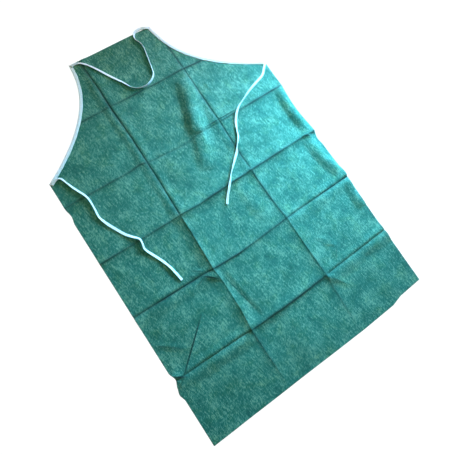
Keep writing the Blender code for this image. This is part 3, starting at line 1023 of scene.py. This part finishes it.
    def crease_height(self, x: Array, y: Array) -> Array:
        """Height of the short creases and puckers, each with its own sharp line or peak.

        A crease is a fold's profile times sin(pi s)^crease_ends, and a pucker h (1 - q)^2.

        Args:
            x: places across the apron.
            y: places along it.

        Returns:
            The heights, in millimetres.
        """
        total = np.zeros_like(x)
        for crease in self.creases:
            share, aside = self.beside(crease, x, y)
            rise = np.sin(np.pi * np.clip(share, 0.0, 1.0)) ** self.crease_ends
            total += rise * self.profile(aside, crease.reach, crease.height_mm)
        for pucker in self.puckers:
            away = np.hypot(x - pucker.x, y - pucker.y)
            total += pucker.height_mm * (1 - np.clip(away / pucker.reach, 0.0, 1.0)) ** 2
        return total

    def slow_height(self, x: Array, y: Array) -> Array:
        """A slow unevenness of the whole sheet: crossing waves raised so that none sinks.

        Args:
            x: places across the apron.
            y: places along it.

        Returns:
            The heights, in millimetres.
        """
        total = np.full_like(x, sum(wave.swing_mm for wave in self.slow_waves))
        for wave in self.slow_waves:
            turn = math.radians(wave.direction)
            along = x * math.cos(turn) + y * math.sin(turn)
            total += wave.swing_mm * np.sin(along / wave.length + wave.start)
        return total

    def height(self, x: Array, y: Array) -> Array:
        """Height of the cloth's underside: level on the armhole tapes, and folded farther in.

        Args:
            x: places across the apron.
            y: places along it.

        Returns:
            The heights, in metres.
        """
        distance = self.cut.edge_distance(x, y)
        folded = smooth_step((distance - self.level_reach) / (self.folded_reach - self.level_reach))
        parts = (self.long_height, self.soft_height, self.crease_height, self.slow_height)
        total = sum(part(x, y) for part in parts)
        return blend(self.seat, np.maximum(total, 0.0) * MM, folded)


# The cloth


@dataclass(frozen=True)
class ApronCloth:
    """The panel: one piece of cloth from hem to bib, as a thin shell on a grid of fold lines."""

    folds: ClothFolds
    finish: SpunbondFinish = SpunbondFinish()
    wall: float = 0.5 * MM
    cell: float = 4.7 * MM  # the grid's spacing in the open fields
    fold_lines: tuple[float, ...] = (0, 1.2 * MM, 2.8 * MM, 5 * MM, 8 * MM, 12 * MM)
    width: float = 0.750
    edge_room: float = 0.030  # the right fold's grid line keeps this far from the side edge
    flat: tuple[float, float] = (0.760, 1.118)  # the sheet with its folds drawn flat
    area: float = 0.741

    def field_shares(self, length: float) -> Array:
        """Shares of a field where grid lines run: close beside both folds, then evenly spaced.

        Args:
            length: length of the field between two folds.

        Returns:
            The shares, from 0 at one fold to 1 at the other.
        """
        near = np.array(self.fold_lines)
        count = max(round((length - 2 * near[-1]) / self.cell), 2)
        middle = np.linspace(near[-1], length - near[-1], count + 1)
        return np.concatenate([near[:-1], middle, length - near[-2::-1]]) / length

    def grid(self) -> tuple[Array, Array]:
        """Places of the grid's points: shares between the fold lines in both directions.

        The rows are laid first, on columns that divide the width evenly. Then each column is
        laid between the lengthwise folds at its rows' heights.

        Returns:
            The x and the y of each point, row by row from the hem.
        """
        cut = self.folds.cut
        left_fold, right_fold = self.folds.length_folds
        cross_folds = self.folds.cross_folds[::-1]

        shares = self.field_shares(self.width / 3)[1:]
        within = np.concatenate([[0.0], *[shares] * 3])  # share of its third at each column
        third = np.repeat([0, 0, 1, 2], [1, *[len(shares)] * 3])
        rough_x = blend(-self.width / 2, self.width / 2, (third + within) / 3)

        starts = [cut.hem_y, *(fold.line[0].y for fold in cross_folds), cut.bib_y]
        lines = [self.folds.cross_y(fold, rough_x) for fold in cross_folds]
        lines = [np.full_like(rough_x, cut.hem_y), *lines, np.full_like(rough_x, cut.bib_y)]
        rows = [lines[0][None, :]]
        for number, length in enumerate(np.diff(starts)):
            shares = self.field_shares(length)[1:, None]
            rows.append(blend(lines[number], lines[number + 1], shares))
        y = np.concatenate(rows)

        left, right = cut.side_x(LEFT_ARMHOLE, y), cut.side_x(RIGHT_ARMHOLE, y)
        inner_right = np.minimum(self.folds.length_x(right_fold, y), right - self.edge_room)
        knots = np.stack([left, self.folds.length_x(left_fold, y), inner_right, right])
        column = np.arange(len(third))
        x = blend(knots[third, :, column], knots[third + 1, :, column], within[:, None]).T
        return x, cut.fit_cuts(x, y)

    def build(self) -> Piece:
        """Makes the cloth, which replaces the CAD panel.

        Returns:
            The piece.
        """
        x, y = self.grid()
        points = np.stack([x, y, self.folds.height(x, y)], axis=-1)
        quads = grid_quads(*x.shape, closed=False)
        cloth = add_mesh("apron_cloth", points, quads.tolist(), points[..., :2])
        # how dark the painted crease shade is at each point along the long folds
        painted_shade = cloth.data.attributes.new("painted_shade", "FLOAT", "POINT")
        painted_shade.data.foreach_set("value", self.folds.painted_shade_share(x, y).ravel())
        wall = cloth.modifiers.new("wall", "SOLIDIFY")
        wall.thickness = self.wall
        wall.offset = 1.0
        # the short creases that get a line of painted shade
        shade_lined_creases = [crease for crease in self.folds.creases if crease.painted_shade > 0]
        dress(cloth, self.finish.material(shade_lined_creases))
        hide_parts("apron_panel")
        return cloth


# Tapes and sewing


def folded_section(
    leaf: float, gap: float, wall: float, press: float, leaf_points: int = 6, bend_points: int = 7
) -> Array:
    """Section of a tape folded in half along its length, as (reach, up) places round its wall.

    The middle of the wall runs in along the lower leaf, turns round a half circle at reach 0
    and runs back along the upper leaf, which dips by press towards the open edge. The wall's
    two faces lie half its thickness to each side of that.

    Args:
        leaf: width of each leaf.
        gap: between the middles of the two leaves at the fold.
        wall: thickness of the tape.
        press: how far the open edge of the upper leaf is pressed down.
        leaf_points: points along each leaf.
        bend_points: points round the bend between them.

    Returns:
        The places, counter-clockwise round the wall, with up from 0 at the lower face.
    """
    reach = leaf * np.linspace(1.0, 0.0, leaf_points)
    turn = np.linspace(-np.pi / 2, -3 * np.pi / 2, bend_points + 2)[1:-1]
    dip = press * smooth_step(reach[::-1] / leaf)
    lower = np.stack([reach, np.zeros(leaf_points)], axis=-1)
    bend = np.stack([gap / 2 * np.cos(turn), gap / 2 * (1 + np.sin(turn))], axis=-1)
    upper = np.stack([reach[::-1], gap - dip], axis=-1)
    middle = np.concatenate([lower, bend, upper])
    way = unit(np.gradient(middle, axis=0))
    side = np.stack([-way[:, 1], way[:, 0]], axis=-1) * wall / 2
    loop = np.concatenate([middle + side, (middle - side)[::-1]])
    return loop + np.array([0.0, wall / 2])


def sweep(name: str, section: Array, centres: Array, across: Array, up: Array) -> Piece:
    """Carries a closed section along a path and caps its ends.

    Each point is centre + reach * across + height * up, for the section's (reach, height).

    Args:
        name: the piece's name.
        section: the section's places, either one loop or one for each station.
        centres: the path's stations.
        across: the unit vector for the section's first number at each station.
        up: the unit vector for its second number at each station.

    Returns:
        The piece, with a UV map in metres: u along the path and v round the section.
    """
    section = np.broadcast_to(section, (len(centres), *section.shape[-2:]))
    reach = section[..., :1] * across[:, None, :]
    points = centres[:, None, :] + reach + section[..., 1:] * up[:, None, :]
    along = np.broadcast_to(along_line(centres)[:, None], points.shape[:2])
    around = np.broadcast_to(along_line(section[0])[None, :], points.shape[:2])
    rows, columns = points.shape[:2]
    faces = grid_quads(rows, columns, closed=True)[:, ::-1].tolist()
    faces.append(list(range(columns)))
    faces.append(list(range(rows * columns - 1, (rows - 1) * columns - 1, -1)))
    return add_mesh(name, points, faces, np.stack([along, around], axis=-1))


@dataclass(frozen=True)
class Stitching:
    """A row of lockstitches: a short arched bead of thread for each stitch that shows."""

    finish: ThreadFinish = ThreadFinish()
    pitch: float = 3.0 * MM
    length: float = 2.3 * MM
    thread: float = 0.22 * MM  # radius of the thread
    arch: float = 0.15 * MM
    sides: int = 6
    rings: tuple[float, ...] = (0.0, 0.3, 0.7, 1.0)  # shares of the length
    taper: float = 0.1  # share of the half circle that a bead's blunt ends leave out

    def sew(self, name: str, lines: list[tuple[Array, Array]]) -> Piece:
        """Sews rows of stitches as one joined mesh.

        A bead's rings stand at shares s along it, with the thread's radius times
        sin(pi (taper + (1 - 2 taper) s)) ^ 0.5, and rise by the arch times sin(pi s).

        Args:
            name: the piece's name.
            lines: for each row its line of places and the direction out of the cloth there.

        Returns:
            The piece.
        """
        starts, ways, outs = (np.concatenate(part) for part in zip(*map(self.stations, lines)))
        share = np.array(self.rings)
        turn = np.linspace(0, 2 * np.pi, self.sides, endpoint=False)
        end = np.pi * (self.taper + (1 - 2 * self.taper) * share)
        radius = self.thread * np.sin(end)[:, None] ** 0.5
        along = np.broadcast_to(((share - 0.5) * self.length)[:, None], (len(share), self.sides))
        out = radius * np.sin(turn) + self.arch * np.sin(np.pi * share)[:, None]
        bead = np.stack([along, radius * np.cos(turn), out], axis=-1)
        axes = np.stack([ways, np.cross(outs, ways), outs], axis=1)
        points = starts[:, None, None, :] + np.einsum("rsk,nki->nrsi", bead, axes)
        count = len(share) * self.sides
        shift = (np.arange(len(starts)) * count)[:, None, None]
        quads = grid_quads(len(share), self.sides, closed=True)[:, ::-1]
        first = np.arange(self.sides)
        caps = np.stack([first, count - 1 - first])
        faces = (quads[None] + shift).reshape(-1, 4).tolist()
        faces += (caps[None] + shift).reshape(-1, self.sides).tolist()
        around = np.broadcast_to(turn * self.thread, along.shape)
        places = np.tile(np.stack([along, around], axis=-1), (len(starts), 1, 1, 1))
        stitches = add_mesh(name, points, faces, places)
        dress(stitches, self.finish.material())
        return stitches

    def stations(self, row: tuple[Array, Array]) -> tuple[Array, Array, Array]:
        """Middle, direction and way out of each stitch, a pitch apart along a row.

        Args:
            row: a line of places and the direction out of the cloth at each of them.

        Returns:
            The middles, the directions along the row and the directions out.
        """
        line, out = row
        travelled = along_line(line)
        goals = np.arange(self.pitch, travelled[-1] - self.pitch / 2, self.pitch)
        ways = read_off(np.gradient(line, axis=0), travelled, goals)
        outs = read_off(out, travelled, goals)
        return read_off(line, travelled, goals), unit(ways), unit(outs)


@dataclass(frozen=True)
class ArmholeTape:
    """White tape folded over an armhole edge and sewn down along its open side."""

    cut: ApronCut
    armhole: Armhole
    finish: TapeFinish = TapeFinish()
    stitching: Stitching = Stitching()
    leaf: float = 7.6 * MM
    outside: float = 0.3 * MM  # from the cloth's edge to the middle of the fold's wall
    wall: float = 0.4 * MM
    gap: float = 2.5 * MM  # between the middles of the leaves
    press: float = 0.55 * MM
    seam: float = 1.7 * MM  # from the tape's open edge to the stitches
    seam_lift: float = 0.1 * MM
    step: float = 3 * MM
    wander: float = 0.5 * MM  # how far the open edge strays
    # Share, length and start of each sine that it strays by.
    wander_waves: tuple[tuple[float, float, float], ...] = (
        (0.7, 47 * MM, 0.0),
        (0.3, 19 * MM, 1.0),
    )

    def build(self) -> list[Piece]:
        """Makes the tape, which replaces its CAD node, and its stitches.

        The section of the folded tape is carried along the armhole edge, its reach inward and
        its height up. Its reach grows and shrinks by the sum of two sines.

        Returns:
            The tape and the stitches.
        """
        name = self.armhole.side.name.lower()
        edge = self.cut.edge(self.armhole, self.step)
        centres = np.pad(edge, ((0, 0), (0, 1)))
        ways = unit(np.gradient(centres, axis=0))
        inward = np.stack([-ways[:, 1], ways[:, 0], ways[:, 2]], axis=-1)
        inward *= self.armhole.side.value
        up = np.broadcast_to([0.0, 0.0, 1.0], inward.shape)
        turns = 2 * np.pi * along_line(centres)
        stray = sum(part * np.sin(turns / length + start) for part, length, start in self.wander_waves)
        widths = 1 + stray * self.wander / self.leaf
        section = folded_section(self.leaf, self.gap, self.wall, self.press)
        sections = np.tile(section, (len(edge), 1, 1))
        sections[..., 0] = sections[..., 0] * widths[:, None] - self.outside
        if self.armhole.side is Side.LEFT:
            sections = sections[:, ::-1]
        tape = sweep(f"armhole_tape_{name}", sections, centres, inward, up)
        dress(tape, self.finish.material())
        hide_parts(f"binding_{name}")
        top = self.gap + self.wall - self.press * smooth_step(1 - self.seam / self.leaf)
        line = centres + inward * (self.leaf - self.seam) + up * (top + self.seam_lift)
        stitches = self.stitching.sew(f"armhole_stitches_{name}", [(line, up)])
        return [tape, stitches]


class RoutePoint(NamedTuple):
    """A place on a ribbon's route from above, and how far the ribbon leans from flat there."""

    x: float
    y: float
    lean: float  # degrees


class FarEnd(Enum):
    """What is on a ribbon's far end, in the frame's words."""

    BARE = "bare"  # a cut end
    OBJECT = "object"  # sewn back into the apron


@dataclass(frozen=True)
class Ribbon:
    """A strap or tie: the same tape folded closed and sewn, lying in loose curves on the cloth."""

    name: str
    node: str
    route: tuple[RoutePoint, ...]
    far_end: FarEnd
    cloth: ApronCloth
    finish: TapeFinish = TapeFinish()
    stitching: Stitching = Stitching()
    width: float = 7.5 * MM
    thickness: float = 1.2 * MM
    wall: float = 0.38 * MM
    press: float = 0.25 * MM
    seam: float = 1.6 * MM  # from the open edge to the stitches
    seam_lift: float = 0.02 * MM
    tape_leaf: float = 7.6 * MM  # reach of the armhole tape that it may lie on
    tape_top: float = 3.0 * MM  # and that tape's height
    clearance: float = 0.3 * MM
    span: float = 12 * MM  # it lies as high as what is under it this far to each side
    under: tuple[float, int] = (1.1, 7)  # and over this share of its half width, in so many places
    step: float = 2.5 * MM
    curve_steps: int = 24  # places on the curve between two points of the route

    def stations(self) -> tuple[Array, Array]:
        """Evenly spaced stations along a Catmull-Rom curve through the route's points.

        Returns:
            The places seen from above, and the leans in radians.
        """
        points = np.array(self.route)
        points = np.concatenate([[2 * points[0] - points[1]], points, [2 * points[-1] - points[-2]]])
        p0, p1, p2, p3 = (points[start : len(points) - 3 + start, None] for start in range(4))
        t = np.linspace(0, 1, self.curve_steps, endpoint=False)[None, :, None]
        curve = 0.5 * (
            2 * p1
            + (p2 - p0) * t
            + (2 * p0 - 5 * p1 + 4 * p2 - p3) * t**2
            + (3 * p1 - p0 - 3 * p2 + p3) * t**3
        )
        curve = np.concatenate([curve.reshape(-1, 3), points[-2:-1]])
        travelled = along_line(curve[:, :2])
        goals = np.linspace(0, travelled[-1], round(travelled[-1] / self.step) + 1)
        even = read_off(curve, travelled, goals)
        return even[:, :2], np.radians(even[:, 2])

    def support(self, x: Array, y: Array) -> Array:
        """Height of what lies under each place: the floor, the cloth or the armhole tape.

        Args:
            x: places across the apron.
            y: places along it.

        Returns:
            The height that each place would carry a ribbon at.
        """
        cut = self.cloth.folds.cut
        on_cloth = cut.inside(x, y)
        top = np.where(on_cloth, self.cloth.folds.height(x, y) + self.cloth.wall, 0.0)
        on_tape = cut.edge_distance(x, y) < self.tape_leaf
        return np.where(on_tape & on_cloth, np.maximum(top, self.tape_top), top)

    def centreline(self) -> tuple[Array, Array, Array]:
        """The ribbon's middle and its directions at each station.

        A station lies at the highest support within its span along and half a ribbon across,
        eased over its neighbours, plus the clearance and half of the height that the leaning
        ribbon takes: w/2 * sin(lean) + t/2 * cos(lean).

        Returns:
            The stations, the unit vectors across the ribbon and those out of its face.
        """
        places, lean = self.stations()
        way = unit(np.gradient(places, axis=0))
        aside = np.stack([-way[:, 1], way[:, 0]], axis=-1)
        flat, steep = np.abs(np.cos(lean)), np.abs(np.sin(lean))
        half = self.width / 2 * flat + self.thickness / 2 * steep
        reach, count = self.under
        offsets = np.linspace(-reach, reach, count) * half[:, None]
        around = places[:, None] + aside[:, None] * offsets[..., None]
        supports = self.support(around[..., 0], around[..., 1]).max(axis=1)
        near = round(self.span / self.step)
        padded = np.pad(supports, near, mode="edge")
        highest = np.lib.stride_tricks.sliding_window_view(padded, 2 * near + 1).max(axis=1)
        kernel = np.hanning(2 * near + 3)[1:-1]
        padded = np.pad(highest, near, mode="edge")
        eased = np.convolve(padded, kernel / kernel.sum(), mode="valid")
        stands = self.width / 2 * steep + self.thickness / 2 * flat
        centres = np.concatenate([places, (eased + self.clearance + stands)[:, None]], axis=1)
        way = unit(np.gradient(centres, axis=0))
        level = np.pad(aside, ((0, 0), (0, 1)))
        up = unit(np.cross(way, level))
        cos, sin = np.cos(lean)[:, None], np.sin(lean)[:, None]
        return centres, level * cos + up * sin, up * cos - level * sin

    def build(self) -> list[Piece]:
        """Returns:
            The ribbon and the stitches.
        """
        centres, across, out = self.centreline()
        gap = self.thickness - self.wall
        section = folded_section(self.width - self.thickness / 2, gap, self.wall, self.press)
        middle = np.array([(section[:, 0].max() + section[:, 0].min()) / 2, self.thickness / 2])
        ribbon = sweep(self.name, (section - middle)[::-1], centres, across, out)
        dress(ribbon, self.finish.material())
        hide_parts(self.node)
        seam = centres + across * (self.width / 2 - self.seam)
        face = self.thickness / 2 + self.seam_lift
        rows = [(seam + out * (face - self.press), out), (seam - out * face, -out)]
        stitches = self.stitching.sew(f"{self.name}_stitches", rows)
        return [ribbon, stitches]


NECK_STRAP_ROUTE = rows_of(
    RoutePoint,
    (-0.149, 0.544, 0), (-0.136, 0.547, -10), (-0.117, 0.538, -25), (-0.093, 0.507, -30),
    (-0.069, 0.466, -20), (-0.047, 0.431, -35), (-0.035, 0.407, -60), (-0.019, 0.393, -75),
    (0.005, 0.388, -90), (0.028, 0.396, -110), (0.045, 0.411, -115), (0.051, 0.431, -110),
    (0.059, 0.466, -105), (0.066, 0.500, -105), (0.065, 0.519, -115), (0.059, 0.532, -120),
    (0.060, 0.546, -120), (0.071, 0.558, -135), (0.092, 0.561, -160), (0.114, 0.553, -180),
)
LEFT_TIE_ROUTE = rows_of(
    RoutePoint,
    (-0.370, 0.257, 0), (-0.354, 0.265, -10), (-0.341, 0.262, -45), (-0.334, 0.244, -55),
    (-0.324, 0.217, -40), (-0.311, 0.188, -45), (-0.307, 0.168, -55), (-0.308, 0.141, -60),
    (-0.310, 0.116, -50), (-0.304, 0.094, -25), (-0.291, 0.065, -12), (-0.277, 0.038, -12),
    (-0.263, 0.020, -35), (-0.251, 0.006, -50), (-0.251, -0.010, -60), (-0.254, -0.025, -50),
    (-0.246, -0.046, -30), (-0.233, -0.075, -22), (-0.224, -0.101, -35), (-0.219, -0.126, -28),
    (-0.215, -0.151, -20),
)
RIGHT_TIE_ROUTE = rows_of(
    RoutePoint,
    (0.370, 0.277, 0), (0.355, 0.262, -5), (0.338, 0.247, -5), (0.303, 0.235, -20),
    (0.266, 0.221, -45), (0.232, 0.205, -70), (0.210, 0.194, -50), (0.191, 0.178, -25),
    (0.175, 0.157, -10), (0.163, 0.134, -50), (0.154, 0.114, -45), (0.134, 0.091, -70),
    (0.122, 0.076, -15), (0.098, 0.054, -40), (0.071, 0.030, -72), (0.048, 0.005, -35),
    (0.026, -0.019, -15), (0.009, -0.041, -10),
)


# The studio


class Lamp(NamedTuple):
    """A soft lamp: a square panel that looks from its place towards an aim."""

    name: str
    place: tuple[float, float, float]
    aim: tuple[float, float, float]
    size: float
    power: float  # watts
    spread: float  # degrees
    colour: str


@dataclass(frozen=True)
class Studio:
    """Camera at the photograph's viewing angle, four soft lamps and a white paper floor."""

    camera_place: tuple[float, float, float] = (-0.2477, -0.1759, 0.9794)
    camera_aim: tuple[float, float, float] = (-0.0278, -0.0977, 0.0)
    camera_roll: float = 37.089  # degrees, clockwise turn of the view
    lens: float = 27.87  # millimetres
    sensor: float = 36.0  # and its width
    lamps: tuple[Lamp, ...] = rows_of(
        Lamp,
        ("window", (1.05, 0.34, 0.38), (0.05, -0.19, 0.0), 0.95, 9.6, 80, "#84cfff"),
        ("near_window", (0.80, 0.30, 0.30), (0.15, -0.15, 0.0), 0.50, 9.2, 90, "#34d8ff"),
        ("ceiling", (0.2, 0.1, 1.4), (0.0, 0.0, 0.0), 1.6, 11.4, 160, "#c6ffd6"),
        ("far_corner", (2.1, 1.4, 1.1), (1.15, 0.75, 0.0), 0.6, 9.0, 60, "#ffffff"),
    )
    sky: str = "#f4faec"
    sky_strength: float = 0.03
    floor_finish: FloorFinish = FloorFinish()
    floor_depth: float = -0.3 * MM
    floor_radii: tuple[float, float, float] = (0.02, 0.8, 2.4)  # of the flat floor's rings
    wall_radius: float = 4.6
    wall_height: float = 3.2
    wall_rings: int = 17
    sides: int = 96

    def build(self) -> None:
        """Sets up the camera, the lamps, the sky and the floor."""
        self.add_camera()
        for lamp in self.lamps:
            self.add_lamp(lamp)
        self.add_sky()
        self.add_floor()
        view = bpy.context.scene.view_settings
        view.view_transform = "Standard"
        view.look = "None"

    def add_camera(self) -> None:
        """Adds the camera: it looks from its place at its aim, turned about its axis by the roll."""
        back = (Vector(self.camera_place) - Vector(self.camera_aim)).normalized()
        level = Vector((-back.y, back.x, 0)).normalized()
        rise = back.cross(level)
        roll = math.radians(self.camera_roll)
        right = level * math.cos(roll) + rise * math.sin(roll)
        top = rise * math.cos(roll) - level * math.sin(roll)
        turn = Matrix((right, top, back)).transposed().to_4x4()
        data = bpy.data.cameras.new("camera")
        data.sensor_width = self.sensor
        data.lens = self.lens
        data.clip_start = 0.01
        camera = bpy.data.objects.new("camera", data)
        camera.matrix_world = Matrix.Translation(self.camera_place) @ turn
        bpy.context.scene.collection.objects.link(camera)
        bpy.context.scene.camera = camera

    def add_lamp(self, lamp: Lamp) -> None:
        """Adds a lamp, which the camera doesn't see.

        Args:
            lamp: the lamp.
        """
        data = bpy.data.lights.new(lamp.name, "AREA")
        data.shape = "SQUARE"
        data.size = lamp.size
        data.energy = lamp.power
        data.spread = math.radians(lamp.spread)
        data.color = linear(lamp.colour)[:3]
        piece = bpy.data.objects.new(lamp.name, data)
        away = Vector(lamp.aim) - Vector(lamp.place)
        turn = away.to_track_quat("-Z", "Y").to_matrix().to_4x4()
        piece.matrix_world = Matrix.Translation(lamp.place) @ turn
        piece.visible_camera = False
        bpy.context.scene.collection.objects.link(piece)

    def add_sky(self) -> None:
        """Adds an even dim light from all around."""
        world = bpy.data.worlds.new("studio_sky")
        world.use_nodes = True
        inputs = {"Color": linear(self.sky), "Strength": self.sky_strength}
        feed(world.node_tree.nodes["Background"], inputs)
        bpy.context.scene.world = world

    def add_floor(self) -> None:
        """Adds the paper floor, which curves up into a wall far behind the apron.

        A profile of radius and height is turned about the z axis. Beyond the flat floor the
        height rises as the square of the share of the way to the wall.
        """
        share = np.linspace(0, 1, self.wall_rings)
        *inner, flat_end = self.floor_radii
        radius = np.concatenate([inner, blend(flat_end, self.wall_radius, share)])[:, None]
        height = np.concatenate([np.zeros(len(inner)), self.wall_height * share**2])
        turn = np.linspace(0, 2 * np.pi, self.sides, endpoint=False)
        height = np.broadcast_to(height[:, None] + self.floor_depth, (len(radius), self.sides))
        points = np.stack([radius * np.cos(turn), radius * np.sin(turn), height], axis=-1)
        faces = grid_quads(len(radius), self.sides, closed=True)[:, ::-1].tolist()
        faces.append(list(range(self.sides)))
        floor = add_mesh("studio_floor", points, faces)
        floor.data.materials.append(self.floor_finish.material())
        floor.visible_diffuse = False
        floor.visible_glossy = False
        floor.visible_shadow = False


def report(pieces: list[Piece]) -> None:
    """Logs each piece with its number of points and faces.

    Args:
        pieces: the pieces.
    """
    for piece in pieces:
        mesh = piece.data
        log.info("%s: %d points, %d faces", piece.name, len(mesh.vertices), len(mesh.polygons))


def main() -> None:
    """Builds the studio, the ribbons, the cloth and its tapes."""
    logging.basicConfig(level=logging.INFO, format="%(name)s: %(message)s")
    Studio().build()

    cut = ApronCut()
    cloth = ApronCloth(ClothFolds(cut))
    ribbons = rows_of(
        Ribbon,
        ("neck_strap_tape", "neck_strap", NECK_STRAP_ROUTE, FarEnd.OBJECT, cloth),
        ("tie_left_tape", "tie_left", LEFT_TIE_ROUTE, FarEnd.BARE, cloth),
        ("tie_right_tape", "tie_right", RIGHT_TIE_ROUTE, FarEnd.BARE, cloth),
    )
    for ribbon in ribbons:
        report(ribbon.build())
    panel = cloth.build()
    trims = []
    for armhole in (LEFT_ARMHOLE, RIGHT_ARMHOLE):
        trims += ArmholeTape(cut, armhole).build()
    report([panel, *trims])


if __name__ == "__main__":
    main()
